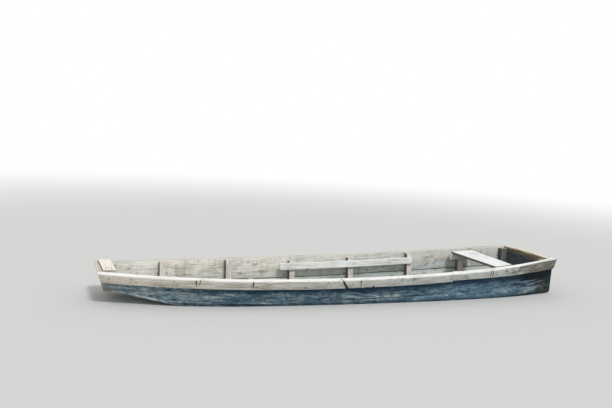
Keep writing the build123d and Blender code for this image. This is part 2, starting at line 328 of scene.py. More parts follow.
# places along the boat, below the top edge or above the bottom: from and to, or centre and reach
paint = {
    "deep": "#1b3040", "blue": "#405866", "worn": "#6b7f89", "chalk": "#a0abae", "chip": "#d2cfc4",
    "wet": "#20292c", "stern": "#0c1419", "bow": "#82817c", "aft": "#47708a", "shade": "#244156",
    "grey": "#62665f", "line": "#20272b",
    "long": {"scale": 2.0, "stretch": (1.0, 1.0, 11.0), "detail": 6.0, "warp": 0.8},
    "fleck": {"scale": 10.0, "stretch": (1.0, 1.0, 3.8), "detail": 8.0, "warp": 0.5,
              "shift": (1.3, 0.0, 2.2)},
    "grit": {"scale": 26.0, "stretch": (1.0, 1.0, 2.6), "detail": 9.0, "warp": 0.3,
             "shift": (0.0, 2.0, 5.0)},
    "cloud": {"scale": 2.4, "stretch": (1.0, 1.0, 2.0), "detail": 3.0, "shift": (0.4, 3.0, 0.0)},
    "run": {"scale": 3.0, "stretch": (12.0, 1.0, 1.2), "warp": 0.3},
    "chips": {"scale": 13.0, "stretch": (1.0, 1.0, 2.8), "warp": 0.3, "shift": (5.1, 0.0, 1.0)},
    "longShare": 0.45, "fleckShare": 0.5, "gritShare": 0.36, "cloudShare": 0.15, "darker": 0.23,
    "blueWhere": (0.37, 0.48), "wornWhere": (0.48, 0.58), "chalkWhere": (0.585, 0.66),
    "chipWhere": (0.69, 0.73),
    "underPlace": (0.11, 0.175), "underSway": 0.06, "underAft": 0.05, "underFore": (-2.1, -1.5),
    "railShadeDarker": 0.1, "shadeShare": 0.5, "aftShadeShare": 0.6,
    "aftPlace": (1.3, 2.2), "aftTint": (1.3, 1.0), "aftShare": 0.3,
    "palePlaces": {"bow": (-2.25, 1.1), "low": (0.17, 0.09), "quarter": (1.25, 0.85)},
    "paler": {"bow": 0.085, "low": 0.04, "quarter": 0.02},
    "runWhere": (0.6, 0.76), "runDarker": 0.05,
    "barePlace": (-2.62, 0.3), "bareShare": 0.8,
    "sternPlace": (1.92, 2.3), "sternSway": 1.4, "sternSlant": 0.8, "slantFrom": 0.3,
    "sternShare": 0.94, "greyPlace": (0.17, 0.1), "greyWhere": (0.44, 0.56), "greyShare": 0.5,
    "railShadowLinePlace": (0.094, 0.015), "railShadowLineShare": 0.55,
    "wetPlace": (0.01, 0.045), "wetSway": 0.04, "wetShare": 0.6,
}


def paintedFace(finish):
    # old blue paint: navy under the rail, where painted shade darkens it, rubbed pale in short
    # streaks, nearly bare at the bow, and painted shade at the stern end
    drop = finish.belowTop()
    long, fleck, grit, cloud, run, chips = [
        finish.noise(**paint[pattern])
        for pattern in ("long", "fleck", "grit", "cloud", "run", "chips")]
    aft = finish.step(finish.x, *paint["aftPlace"])
    # a band under the rail is made darker and bluer: painted shade under the rail's lip, deeper aft
    edge = drop + sway(long, paint["underSway"]) - paint["underAft"] * aft
    under = 1.0 - finish.step(edge, *paint["underPlace"])
    under = under * finish.step(finish.x, *paint["underFore"])
    tone = long * paint["longShare"] + fleck * paint["fleckShare"]
    tone = tone + grit * paint["gritShare"] + cloud * paint["cloudShare"]
    tone = tone - paint["darker"] - under * paint["railShadeDarker"]
    for place, where in (("bow", finish.x), ("low", finish.z), ("quarter", finish.x)):
        tone = tone + finish.near(where, *paint["palePlaces"][place]) * paint["paler"][place]
    tone = tone - finish.step(run, *paint["runWhere"]) * paint["runDarker"]
    colour = finish.tint(ink(paint["deep"]), finish.step(tone, *paint["blueWhere"]), paint["blue"])
    colour = finish.tint(colour, finish.step(tone, *paint["wornWhere"]), paint["worn"])
    rubbed = finish.step(tone, *paint["chalkWhere"])
    colour = finish.tint(colour, rubbed, paint["chalk"])
    clear = finish.near(finish.x, *paint["aftTint"]) * (1.0 - under)
    colour = finish.tint(colour, clear * paint["aftShare"], paint["aft"])
    colour = finish.tint(colour, under * paint["shadeShare"], paint["shade"])
    colour = finish.tint(colour, under * aft * paint["aftShadeShare"], paint["deep"])
    colour = finish.tint(colour, finish.step(chips, *paint["chipWhere"]), paint["chip"])
    bare = finish.near(finish.x, *paint["barePlace"])
    colour = finish.tint(colour, bare * paint["bareShare"], paint["bow"])
    # the stern end of the sides goes nearly black: painted shade at the stern
    slant = paint["sternSlant"] * (finish.z - paint["slantFrom"])
    dim = finish.step(finish.x - sway(long, paint["sternSway"]) + slant, *paint["sternPlace"])
    colour = finish.tint(colour, dim * paint["sternShare"], paint["stern"])
    grey = dim * finish.near(finish.z, *paint["greyPlace"])
    grey = grey * finish.step(fleck, *paint["greyWhere"])
    colour = finish.tint(colour, grey * paint["greyShare"], paint["grey"])
    # a thin dark line right under the rail: a painted shadow of the rail's lower edge
    line = finish.near(drop, *paint["railShadowLinePlace"])
    colour = finish.tint(colour, line * paint["railShadowLineShare"], paint["line"])
    wetFrom, wetTo = [boat["waterline"] + above for above in paint["wetPlace"]]
    wet = 1.0 - finish.step(finish.z + sway(long, paint["wetSway"]), wetFrom, wetTo)
    colour = finish.tint(colour, wet * paint["wetShare"], paint["wet"])
    return colour, long, rubbed


sideBoard = {
    "dark": "#c2c1b6", "mid": "#dddbd2", "pale": "#eeece6", "stain": "#bdb9ab", "stained": 0.5,
    "astern": "#abb0ac", "asternPlace": (-1.2, 1.3), "asternShare": 0.5,
    "damp": "#c9d4d3", "paleLowPlace": (0.1, 0.2), "paleLowSway": 0.08,
    "paleLowShare": 0.3, "paleLowAstern": 0.5,
    "low": "#8b989b", "lowSoft": 0.02, "lowPlace": (0.4, 1.2), "lowShare": 0.6,
    "blotch": {"scale": 5.0, "stretch": (1.0, 1.0, 1.4), "detail": 7.0, "warp": 0.4,
               "shift": (2.0, 0.0, 1.0)},
    "cool": "#a9b3b1", "coolWhere": (0.52, 0.66), "coolShare": 0.45,
    "warm": "#b1a996", "warmWhere": (0.34, 0.46), "warmShare": 0.5,
    "drip": {"scale": 3.0, "stretch": (9.0, 1.0, 0.8), "detail": 6.0, "warp": 0.4},
    "dripped": "#86857a", "dripWhere": (0.54, 0.7), "dripShare": 0.4,
    "peel": {"scale": 7.5, "stretch": (1.0, 1.0, 2.4), "detail": 6.0, "warp": 0.3,
             "shift": (0.0, 0.0, 4.0)},
    "peeled": "#7b776a", "peelWhere": (0.585, 0.65), "peelShare": 0.55,
    "seamInside": "#33342f", "seamInsideReach": 0.011, "seamInsideShare": 0.9,
    "seamOutside": "#151c21", "seamOutsideReach": 0.006, "seamOutsideShare": 0.8,
    "crack": "#5d5c53", "crackShare": 0.6,
    "endDark": "#57564d", "endPale": "#85826f", "endWhere": (0.42, 0.6), "endFace": (0.7, 0.9),
    "portTop": "#eeede9", "starboardTop": "#c2c1b6", "topShare": 0.95,
    "topFace": (0.5, 0.9), "topPlace": (0.01, 0.03),
    "roughness": 0.88, "paintSmoother": 0.22, "rubbedRougher": 0.12,
    "ridge": 0.4, "paintRidge": 0.5, "rubbedDepth": -0.35, "relief": 0.003, "shine": 0.12,
}


def sidePlank(name, look):
    # old white paint inside, blue paint outside
    finish = Finish(name)
    finish.followHull()
    streak, fibre, patch, check, inner = woodParts(finish, 0, look)
    drop = finish.belowTop()
    astern = finish.step(finish.x, *look["asternPlace"])
    inner = finish.tint(inner, astern * look["asternShare"], look["astern"])
    # low on the inside, and more of it aft, a cooler tone: painted light, made pale to lift the
    # shade under the riser and the seat
    damp = finish.step(drop + sway(patch, look["paleLowSway"]), *look["paleLowPlace"])
    damp = damp * (look["paleLowShare"] + look["paleLowAstern"] * astern)
    inner = finish.tint(inner, damp, look["damp"])
    # below the seam in the middle of the boat the inside is darkened: painted shade under the riser
    low = finish.step(drop, boat["seamDrop"], boat["seamDrop"] + look["lowSoft"])
    low = low * finish.near(finish.x, *look["lowPlace"])
    inner = finish.tint(inner, low * look["lowShare"], look["low"])
    blotch = finish.noise(**look["blotch"])
    cool = finish.step(blotch, *look["coolWhere"])
    warm = 1.0 - finish.step(blotch, *look["warmWhere"])
    inner = finish.tint(inner, cool * look["coolShare"], look["cool"])
    inner = finish.tint(inner, warm * look["warmShare"], look["warm"])
    drip = finish.step(finish.noise(**look["drip"]), *look["dripWhere"])
    inner = finish.tint(inner, drip * look["dripShare"], look["dripped"])
    peel = finish.step(finish.noise(**look["peel"]), *look["peelWhere"])
    inner = finish.tint(inner, peel * look["peelShare"], look["peeled"])
    seam = finish.near(drop, boat["seamDrop"], look["seamInsideReach"])
    inner = finish.tint(inner, seam * look["seamInsideShare"], look["seamInside"])
    inner = finish.tint(inner, check * look["crackShare"], look["crack"])
    outer, long, rubbed = paintedFace(finish)
    seam = finish.near(drop, boat["seamDrop"], look["seamOutsideReach"])
    outer = finish.tint(outer, seam * look["seamOutsideShare"], look["seamOutside"])
    outside = finish.outward()
    colour = finish.blend(outside, inner, outer)
    fibres = finish.step(fibre, *look["endWhere"])
    endGrain = finish.tint(ink(look["endDark"]), fibres, look["endPale"])
    colour = finish.blend(finish.step(abs(finish.faceX), *look["endFace"]), colour, endGrain)
    upward = finish.step(finish.faceZ, *look["topFace"])
    upward = upward * (1.0 - finish.step(drop, *look["topPlace"]))
    # the starboard top edge is given a greyer colour than the port one: painted shade
    top = finish.tint(ink(look["portTop"]), finish.starboard(), look["starboardTop"])
    colour = finish.blend(upward * look["topShare"], colour, top)
    height = fibre * look["ridge"] + streak * look["ridge"] - check * (1.0 - outside)
    height = height + outside * (long * look["paintRidge"] + rubbed * look["rubbedDepth"])
    roughness = look["roughness"] - look["paintSmoother"] * outside + look["rubbedRougher"] * rubbed
    return finish.done(colour, roughness, height, look["relief"], look["shine"])


bottomBoard = {
    "dark": "#74736a", "mid": "#8a887d", "pale": "#9e9c90", "stain": "#5f5d53", "stained": 0.7,
    "crack": "#3a3934", "crackShare": 0.7,
    "seamInside": "#2e2d29", "seamOutside": "#1a2024", "seamReach": 0.005, "seamShare": 0.85,
    "underFace": (0.2, 0.5), "edgeFrom": (0.24, 0.27), "paintedFrom": (0.3, 0.7),
    "scuff": "#a6a8a4", "scuffPlace": (-1.95, 0.16), "scuffWhere": (0.4, 0.6), "scuffShare": 0.8,
    "roughness": 0.9, "paintSmoother": 0.15, "ridge": 0.5, "relief": 0.003,
}


def bottomPlank(name, look):
    # bare grey wood inside, painted below and along the outer edge, scuffed where it rises
    finish = Finish(name)
    streak, fibre, patch, check, inner = woodParts(finish, 0, look)
    inner = finish.tint(inner, check * look["crackShare"], look["crack"])
    outer, long, rubbed = paintedFace(finish)
    for place in boat["floorSeams"]:
        seam = finish.near(abs(finish.y), place, look["seamReach"]) * look["seamShare"]
        inner = finish.tint(inner, seam, look["seamInside"])
        outer = finish.tint(outer, seam, look["seamOutside"])
    under = finish.step(finish.faceZ * -1.0, *look["underFace"])
    edge = finish.outward() * finish.step(abs(finish.y), *look["edgeFrom"])
    painted = finish.step(under + edge, *look["paintedFrom"])
    colour = finish.blend(painted, inner, outer)
    scuff = edge * finish.near(finish.x, *look["scuffPlace"])
    scuff = scuff * finish.step(long, *look["scuffWhere"])
    colour = finish.tint(colour, scuff * look["scuffShare"], look["scuff"])
    height = fibre * look["ridge"] + streak * look["ridge"] - check
    roughness = look["roughness"] - look["paintSmoother"] * painted
    return finish.done(colour, roughness, height, look["relief"])


railBoard = {
    "dark": "#959186", "mid": "#b6b3a9", "pale": "#cac8bf", "stain": "#a19885", "stained": 0.5,
    "fore": "#c6bbab", "forePlace": (-2.5, 1.3), "foreShare": 0.45,
    "aft": "#a8afae", "aftPlace": (-1.5, 1.2), "aftShare": 0.65,
    "spots": {"scale": 12.0, "stretch": (1.0, 1.0, 1.6), "detail": 5.0},
    "spot": "#828077", "spotWhere": (0.55, 0.68), "spotShare": 0.4,
    "stern": "#524a3c", "sternPlace": (1.72, 2.16), "sternSpots": 1.4, "sternStreaks": 1.6,
    "sternFace": (0.1, 0.9), "sternShare": 0.6, "fibreShare": 0.35, "fibreWhere": (0.42, 0.56),
    "frayPlace": (2.3, 0.45), "frayEdge": (-0.042, -0.026), "fraySway": 0.02, "frayed": 0.8,
    "highlightRimPlace": (0.009, 0.017), "highlightRimSway": 0.012, "highlightRimEnds": (1.5, 2.1), "highlightRimShare": 0.7,
    "portTop": "#e9e8e4", "starboardTop": "#c3c1b6", "topFace": (0.35, 0.85),
    "rubbedWhere": (0.55, 0.74), "rubbed": 0.3,
    "end": "#8f8778", "endFace": (0.7, 0.95), "endShare": 0.5,
    "crack": "#55524b", "crackShare": 0.7,
}


def railWood(name, look):
    # white on top, warm grey at the bow, cooler aft, brown at the stern; the tones along the rail
    # are partly painted light and shade, lighter at the bow and shaded at the stern
    finish = Finish(name)
    finish.followHull()
    streak, fibre, patch, check, colour = woodParts(finish, 0, look)
    drop = finish.belowTop()
    spots = finish.noise(**look["spots"])
    # the warm tint at the bow and the cooler one aft are partly painted light: the rail's face is
    # lighter where it turns towards the light
    fore = finish.near(finish.x, *look["forePlace"])
    colour = finish.tint(colour, fore * look["foreShare"], look["fore"])
    aft = finish.step(finish.x, *look["aftPlace"])
    colour = finish.tint(colour, aft * look["aftShare"], look["aft"])
    spotted = finish.step(spots, *look["spotWhere"])
    colour = finish.tint(colour, spotted * look["spotShare"], look["spot"])
    # the brown at the stern is partly the wood's own tone and partly painted shade
    place = finish.x + sway(spots, look["sternSpots"]) + sway(streak, look["sternStreaks"])
    brown = finish.step(place, *look["sternPlace"])
    frayed = finish.step(finish.offEdge + sway(spots, look["fraySway"]), *look["frayEdge"])
    frayed = finish.near(finish.x, *look["frayPlace"]) * frayed
    brown = brown * finish.step(finish.outward() + frayed, *look["sternFace"])
    fibres = look["fibreShare"] * finish.step(fibre, *look["fibreWhere"])
    colour = finish.tint(colour, brown * (look["sternShare"] + fibres), look["stern"])
    # a band just under the top edge takes the pale top colour: a painted highlight along the edge
    rim = 1.0 - finish.step(drop + sway(fibre, look["highlightRimSway"]), *look["highlightRimPlace"])
    rim = rim * (1.0 - finish.step(finish.x, *look["highlightRimEnds"]))
    upward = finish.step(finish.faceZ + rim * look["highlightRimShare"], *look["topFace"])
    upward = upward * (1.0 - look["rubbed"] * finish.step(streak, *look["rubbedWhere"]))
    upward = upward * (1.0 - look["frayed"] * frayed)
    # the starboard top is given a greyer colour than the port one: painted shade
    top = finish.tint(ink(look["portTop"]), finish.starboard(), look["starboardTop"])
    colour = finish.blend(upward, colour, top)
    endOf = finish.step(abs(finish.faceX), *look["endFace"])
    colour = finish.tint(colour, endOf * look["endShare"], look["end"])
    check = check * (1.0 - endOf)
    colour = finish.tint(colour, check * look["crackShare"], look["crack"])
    height = fibre * bareBoard["ridge"] + streak * bareBoard["ridge"]
    height = height - check * bareBoard["crackDepth"]
    roughness = bareBoard["roughness"] + bareBoard["streakRoughness"] * streak
    return finish.done(colour, roughness, height, bareBoard["relief"])


# the dark inner tones are partly painted shade on a face that looks away from the light
sternBoard = {
    "dark": "#333e41", "mid": "#465054", "pale": "#5d676a", "stain": "#3d3f38", "stained": 0.6,
    "brownDark": "#665b48", "brownPale": "#84785f", "brownWhere": (0.42, 0.6), "brownShare": 0.85,
    "brownPlace": (0.43, 0.47), "brownSlant": 0.08, "brownSway": 0.1,
    "rub": {"scale": 2.0, "stretch": (1.0, 1.0, 14.0), "detail": 6.0, "warp": 0.4},
    "blueWhere": (0.4, 0.68), "chalkWhere": (0.6, 0.72), "chalkShare": 0.5, "outerFace": (0.3, 0.6),
    "topDark": "#c6bba1", "topPale": "#eae1cb", "topWhere": (0.4, 0.6), "topFace": (0.4, 0.7),
    "topPlace": (0.46, 0.48), "highlightRimPlace": (0.499, 0.507), "highlightRimSway": 0.01, "highlightRimShare": 0.7,
    "crack": "#1d201f", "crackShare": 0.7,
    "roughness": 0.86, "paintSmoother": 0.16, "ridge": 0.5, "relief": 0.003,
}


def transomPlank(name, look):
    # dark wood inside, brown near its pale top, blue paint outside; the dark inside is partly
    # painted shade, the brown band partly painted light
    finish = Finish(name)
    streak, fibre, patch, check, inner = woodParts(finish, 1, look)
    rub = finish.noise(**look["rub"])
    # the brown band under the top, reaching lower to port, is partly the wood's tone and partly
    # painted light where the light falls
    slant = finish.z - look["brownSlant"] * finish.y
    brown = finish.step(slant + sway(streak, look["brownSway"]), *look["brownPlace"])
    pale = finish.step(fibre, *look["brownWhere"])
    tone = finish.tint(ink(look["brownDark"]), pale, look["brownPale"])
    inner = finish.blend(brown * look["brownShare"], inner, tone)
    outer = finish.tint(ink(paint["deep"]), finish.step(rub, *look["blueWhere"]), paint["blue"])
    chalk = finish.step(rub, *look["chalkWhere"])
    outer = finish.tint(outer, chalk * look["chalkShare"], paint["chalk"])
    outside = finish.step(finish.faceX, *look["outerFace"])
    colour = finish.blend(outside, inner, outer)
    # a band just under the top takes the pale top colour: a painted highlight along the top edge
    rim = finish.step(finish.z + sway(fibre, look["highlightRimSway"]), *look["highlightRimPlace"])
    upward = finish.faceZ * finish.step(finish.z, *look["topPlace"]) + rim * look["highlightRimShare"]
    top = finish.tint(ink(look["topDark"]), finish.step(fibre, *look["topWhere"]), look["topPale"])
    colour = finish.blend(finish.step(upward, *look["topFace"]), colour, top)
    crack = check * look["crackShare"] * (1.0 - outside)
    colour = finish.tint(colour, crack, look["crack"])
    height = fibre * look["ridge"] + streak * look["ridge"] - check
    roughness = look["roughness"] - look["paintSmoother"] * outside
    return finish.done(colour, roughness, height, look["relief"])


# two tones that a noise mixes: the dark inside of a split or dent, rusty nails, painted nails
plainFinishes = {
    "openCrack": {"noise": {"scale": 30.0, "stretch": (1.0, 1.0, 4.0), "detail": 3.0},
                  "first": "#2f2c27", "second": "#4e493f", "where": (0.4, 0.62),
                  "roughness": 0.85, "rougher": 0.1, "relief": 0.001},
    "nailIron": {"noise": {"scale": 160.0, "detail": 3.0},
                 "first": "#4b4640", "second": "#6e5848", "where": (0.4, 0.62),
                 "roughness": 0.7, "rougher": 0.2, "relief": 0.0004},
    "paintedNail": {"noise": {"scale": 140.0, "detail": 3.0},
                    "first": "#3f4f5a", "second": "#665a50", "where": (0.5, 0.66),
                    "roughness": 0.6, "rougher": 0.2, "relief": 0.0004},
}


def plainFinish(name, look):
    finish = Finish(name)
    noise = finish.noise(**look["noise"])
    colour = finish.tint(ink(look["first"]), finish.step(noise, *look["where"]), look["second"])
    return finish.done(colour, look["roughness"] + look["rougher"] * noise, noise, look["relief"])


finishes = {
    "railWood": railWood("railWood", railBoard),
    "riserWood": weatheredWood("riserWood", 0, woods["riser"]),
    "ribWood": weatheredWood("ribWood", 2, woods["rib"]),
    "floorWood": weatheredWood("floorWood", 1, woods["floor"]),
    "seatWood": weatheredWood("seatWood", 1, woods["seat"]),
    "deckWood": weatheredWood("deckWood", 1, woods["deck"]),
    "bowWood": weatheredWood("bowWood", 1, woods["bow"]),
    "postWood": weatheredWood("postWood", 2, woods["post"]),
    "sidePlank": sidePlank("sidePlank", sideBoard),
    "bottomPlank": bottomPlank("bottomPlank", bottomBoard),
    "transomPlank": transomPlank("transomPlank", sternBoard),
}
for name, look in plainFinishes.items():
    finishes[name] = plainFinish(name, look)
print("finishes ready:", len(finishes))


# worn copies of the boards

making = {
    "mergeWithin": 0.00005,
    "flatWithin": 0.4,        # degrees between faces that count as one
    "cornerFrom": 40.0,       # degrees from which an edge is rounded
    "roundSteps": 2,
    "smoothBelow": 32.0,      # degrees up to which faces are shaded as one
    "lumpDetail": 2,
}


def only(piece):
    bpy.ops.object.select_all(action="DESELECT")
    piece.select_set(True)
    bpy.context.view_layer.objects.active = piece


def applyAll(piece):
    only(piece)
    for modifier in list(piece.modifiers):
        bpy.ops.object.modifier_apply(modifier=modifier.name)


def joined(name, meshes):
    # one object of all these meshes, in the same order on each run
    shape = bmesh.new()
    for mesh in meshes:
        shape.from_mesh(mesh)
    data = bpy.data.meshes.new(name)
    shape.to_mesh(data)
    shape.free()
    piece = bpy.data.objects.new(name, data)
    bpy.context.scene.collection.objects.link(piece)
    return piece


def unevenness(size):
    name = "lumps%d" % round(size * 1000)
    texture = bpy.data.textures.get(name)
    if texture is None:
        texture = bpy.data.textures.new(name, "CLOUDS")
        texture.noise_scale = size
        texture.noise_depth = making["lumpDetail"]
    return texture


def wornBoard(nodeName, look):
    # a copy of the solid: cut into lengths, its edges rounded and its faces a little uneven
    words = nodeName.split("_")
    name = words[0] + "".join(word.title() for word in words[1:])
    piece = bpy.data.objects.new(name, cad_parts[nodeName].data.copy())
    bpy.context.scene.collection.objects.link(piece)
    low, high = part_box(nodeName)
    axis = look["axis"]
    only(piece)
    bpy.ops.object.mode_set(mode="EDIT")
    bpy.ops.mesh.select_all(action="SELECT")
    bpy.ops.mesh.customdata_custom_splitnormals_clear()
    bpy.ops.mesh.remove_doubles(threshold=making["mergeWithin"])
    bpy.ops.mesh.dissolve_limited(angle_limit=radians(making["flatWithin"]))
    count = max(1, round((high[axis] - low[axis]) / look["length"]))
    for i in range(1, count):
        cut = [0.0, 0.0, 0.0]
        cut[axis] = low[axis] + (high[axis] - low[axis]) * i / count
        facing = [0.0, 0.0, 0.0]
        facing[axis] = 1.0
        bpy.ops.mesh.select_all(action="SELECT")
        bpy.ops.mesh.bisect(plane_co=cut, plane_no=facing)
    bpy.ops.object.mode_set(mode="OBJECT")
    rounding = piece.modifiers.new("rounding", "BEVEL")
    rounding.width = look["edge"]
    rounding.segments = making["roundSteps"]
    rounding.limit_method = "ANGLE"
    rounding.angle_limit = radians(making["cornerFrom"])
    wear = piece.modifiers.new("wear", "DISPLACE")
    wear.texture = unevenness(look["lump"])
    wear.texture_coords = "LOCAL"
    wear.strength = look["wear"]
    wear.mid_level = 0.5
    applyAll(piece)
    bpy.ops.object.shade_smooth_by_angle(angle=radians(making["smoothBelow"]))
    piece.data.materials.clear()
    piece.data.materials.append(finishes[look["finish"]])
    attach(piece, "root")
    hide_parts(nodeName)
    return piece


# axis along the board, length of its cuts, rounding of its edges, depth and size of its lumps
boards = {
    "rail": {"axis": 0, "length": 0.06, "edge": 0.005, "wear": 0.004, "lump": 0.16,
             "finish": "railWood", "slot": "rail_wood",
             "nodes": tuple("%s_rail_%s" % (side, part)
                            for side in sides for part in ("fore", "middle", "aft"))},
    "riser": {"axis": 0, "length": 0.08, "edge": 0.003, "wear": 0.003, "lump": 0.2,
              "finish": "riserWood", "slot": "frame_wood",
              "nodes": ("port_riser", "starboard_riser",
                        "port_seat_riser", "starboard_seat_riser")},
    "rib": {"axis": 2, "length": 0.05, "edge": 0.005, "wear": 0.004, "lump": 0.12,
            "finish": "ribWood", "slot": "frame_wood",
            "nodes": tuple("%s_rib_%d" % (side, i) for side in sides for i in range(1, 7))},
    "floor": {"axis": 1, "length": 0.08, "edge": 0.005, "wear": 0.003, "lump": 0.14,
              "finish": "floorWood", "slot": "frame_wood",
              "nodes": tuple("floor_%d" % i for i in range(1, 7))},
    "seat": {"axis": 1, "length": 0.06, "edge": 0.004, "wear": 0.004, "lump": 0.2,
             "finish": "seatWood", "slot": "seat_wood", "nodes": ("stern_seat",)},
    "deck": {"axis": 1, "length": 0.05, "edge": 0.003, "wear": 0.004, "lump": 0.12,
             "finish": "deckWood", "slot": "bow_wood", "nodes": ("bow_deck",)},
    "bow": {"axis": 1, "length": 0.06, "edge": 0.004, "wear": 0.003, "lump": 0.12,
            "finish": "bowWood", "slot": "bow_wood", "nodes": ("bow_board", "bow_beam")},
    "post": {"axis": 2, "length": 0.06, "edge": 0.005, "wear": 0.003, "lump": 0.12,
             "finish": "postWood", "slot": "transom_wood",
             "nodes": ("port_stern_post", "starboard_stern_post")},
    "side": {"axis": 0, "length": 0.08, "edge": 0.003, "wear": 0.003, "lump": 0.22,
             "finish": "sidePlank", "slot": "painted_side_plank",
             "nodes": ("port_upper_plank", "starboard_upper_plank",
                       "port_lower_plank", "starboard_lower_plank")},
    "bottom": {"axis": 0, "length": 0.12, "edge": 0.003, "wear": 0.002, "lump": 0.22,
               "finish": "bottomPlank", "slot": "bottom_plank",
               "nodes": ("bottom_plank_middle", "bottom_plank_port", "bottom_plank_starboard",
                         "bottom_plank_port_outer", "bottom_plank_starboard_outer")},
    "transom": {"axis": 1, "length": 0.06, "edge": 0.004, "wear": 0.003, "lump": 0.16,
                "finish": "transomPlank", "slot": "transom_wood",
                "nodes": ("transom_upper", "transom_lower")},
}

pieces = {}
for kind, look in boards.items():
    for nodeName in look["nodes"]:
        pieces[nodeName] = wornBoard(nodeName, look)
    print("boards:", kind, len(look["nodes"]))


# splits and dents in the rails

# x, top and foot below the rail's top edge, widths at top and foot, depth, shift of the foot
marks = {
    "port_rail_fore": (
        (-2.299, 0.030, 0.075, 0.003, 0.002, 0.005, 0.002),
        (-1.707, 0.008, 0.066, 0.013, 0.006, 0.012, 0.004),
        (-1.668, 0.002, 0.052, 0.010, 0.005, 0.010, -0.004),
        (-1.157, 0.012, 0.076, 0.015, 0.008, 0.014, -0.003),
        (-0.606, -0.006, 0.010, 0.052, 0.020, 0.011, 0.006),
        (-0.622, 0.066, 0.080, 0.022, 0.034, 0.006, 0.004),
        (-0.224, 0.020, 0.112, 0.016, 0.038, 0.040, 0.066),
    ),
    "port_rail_middle": (
        (-0.031, 0.014, 0.078, 0.011, 0.006, 0.011, 0.004),
        (0.114, 0.070, 0.112, 0.004, 0.052, 0.014, 0.002),
        (0.275, 0.010, 0.060, 0.003, 0.002, 0.005, 0.003),
        (0.437, 0.020, 0.066, 0.005, 0.003, 0.007, 0.002),
        (0.578, 0.008, 0.078, 0.006, 0.003, 0.008, -0.003),
        (1.043, 0.004, 0.076, 0.009, 0.004, 0.010, 0.003),
    ),
    "port_rail_aft": (
        (1.560, 0.010, 0.084, 0.010, 0.005, 0.010, 0.002),
        (1.592, 0.014, 0.080, 0.011, 0.005, 0.010, -0.003),
        (1.775, 0.006, 0.060, 0.006, 0.003, 0.007, 0.008),
        (2.180, 0.030, 0.075, 0.003, 0.002, 0.005, 0.003),
    ),
    "starboard_rail_fore": (
        (-2.080, 0.012, 0.070, 0.006, 0.003, 0.008, 0.003),
        (-1.330, 0.020, 0.064, 0.007, 0.003, 0.008, -0.004),
        (-0.860, -0.006, 0.010, 0.046, 0.022, 0.010, 0.004),
    ),
    "starboard_rail_middle": (
        (0.205, 0.010, 0.072, 0.005, 0.003, 0.007, 0.003),
        (0.690, 0.062, 0.110, 0.003, 0.030, 0.011, -0.002),
    ),
    "starboard_rail_aft": (
        (1.480, 0.012, 0.080, 0.005, 0.003, 0.008, 0.004),
        (2.050, 0.020, 0.070, 0.006, 0.003, 0.008, -0.003),
    ),
}


def meet(nodeNames, start, heading):
    # the first point of these boards that a line meets, and the way it faces
    hits = [pieces[nodeName].ray_cast(Vector(start), Vector(heading)) for nodeName in nodeNames]
    hits = [(point, facing) for found, point, facing, face in hits if found]
    return min(hits, key=lambda hit: (hit[0] - Vector(start)).length, default=None)


def cutMark(nodeName, mark):
    # a wedge of which the outer half stands clear of the rail's face is taken out of it
    x, top, foot, topWidth, footWidth, depth, shift = mark
    side = sides[nodeName.split("_")[0]]
    spot = meet((nodeName,), (x, side, sheerAt(x) - boat["railMiddle"]), (0, -side, 0))
    if spot is None:
        print("no rail at", x)
        return
    middle = (x, spot[0].y, sheerAt(x) - 0.5 * (top + foot))
    size = (topWidth, 2.0 * depth, foot - top)
    bpy.ops.object.select_all(action="DESELECT")
    bpy.ops.mesh.primitive_cube_add(size=1.0, location=middle, scale=size)
    cutter = bpy.context.object
    bpy.ops.object.transform_apply(location=True, rotation=True, scale=True)
    for corner in cutter.data.vertices:
        corner.select = corner.co.z < middle[2]
    for part in list(cutter.data.polygons) + list(cutter.data.edges):
        part.select = all(cutter.data.vertices[i].select for i in part.vertices)
    bpy.ops.object.mode_set(mode="EDIT")
    bpy.ops.transform.resize(value=(footWidth / topWidth, 1.0, 1.0))
    bpy.ops.transform.translate(value=(shift, 0.0, 0.0))
    bpy.ops.object.mode_set(mode="OBJECT")
    # a dent that starts above the top edge is worn as pale as the rail
    cutter.data.materials.append(finishes["openCrack" if top > 0 else "railWood"])
    cut = pieces[nodeName].modifiers.new("cut", "BOOLEAN")
    cut.operation = "DIFFERENCE"
    cut.solver = "EXACT"
    cut.material_mode = "TRANSFER"
    cut.object = cutter
    applyAll(pieces[nodeName])
    bpy.data.objects.remove(cutter)


for nodeName, cuts in marks.items():
    for mark in cuts:
        bpy.context.view_layer.update()
        cutMark(nodeName, mark)
    only(pieces[nodeName])
    bpy.ops.object.shade_smooth_by_angle(angle=radians(making["smoothBelow"]))
print("splits and dents cut:", sum(len(cuts) for cuts in marks.values()))


# nails

nail = {"radius": 0.0058, "rim": 0.0012, "topRadius": 0.00336, "topHeight": 0.002, "sides": 10,
        "smoothBelow": 50.0, "sunk": 0.0004}


def nailHead():
    # a flat disc with a low raised middle: the foot, the rim and the top are rings of corners
    rings = ((nail["radius"], 0.0), (nail["radius"], nail["rim"]),
             (nail["topRadius"], nail["topHeight"]))
    count = nail["sides"]
    turns = [2.0 * pi * i / count for i in range(count)]
    corners = [(-radius * sin(turn), radius * cos(turn), height)
               for radius, height in rings for turn in turns]
    faces = [tuple(reversed(range(count))), tuple(range(2 * count, 3 * count))]
    for i in range(2 * count):
        after = i + 1 if (i + 1) % count else i + 1 - count
        faces.append((i, after, after + count, i + count))
    head = bpy.data.meshes.new("nailHead")
    head.from_pydata(corners, [], faces)
    return head


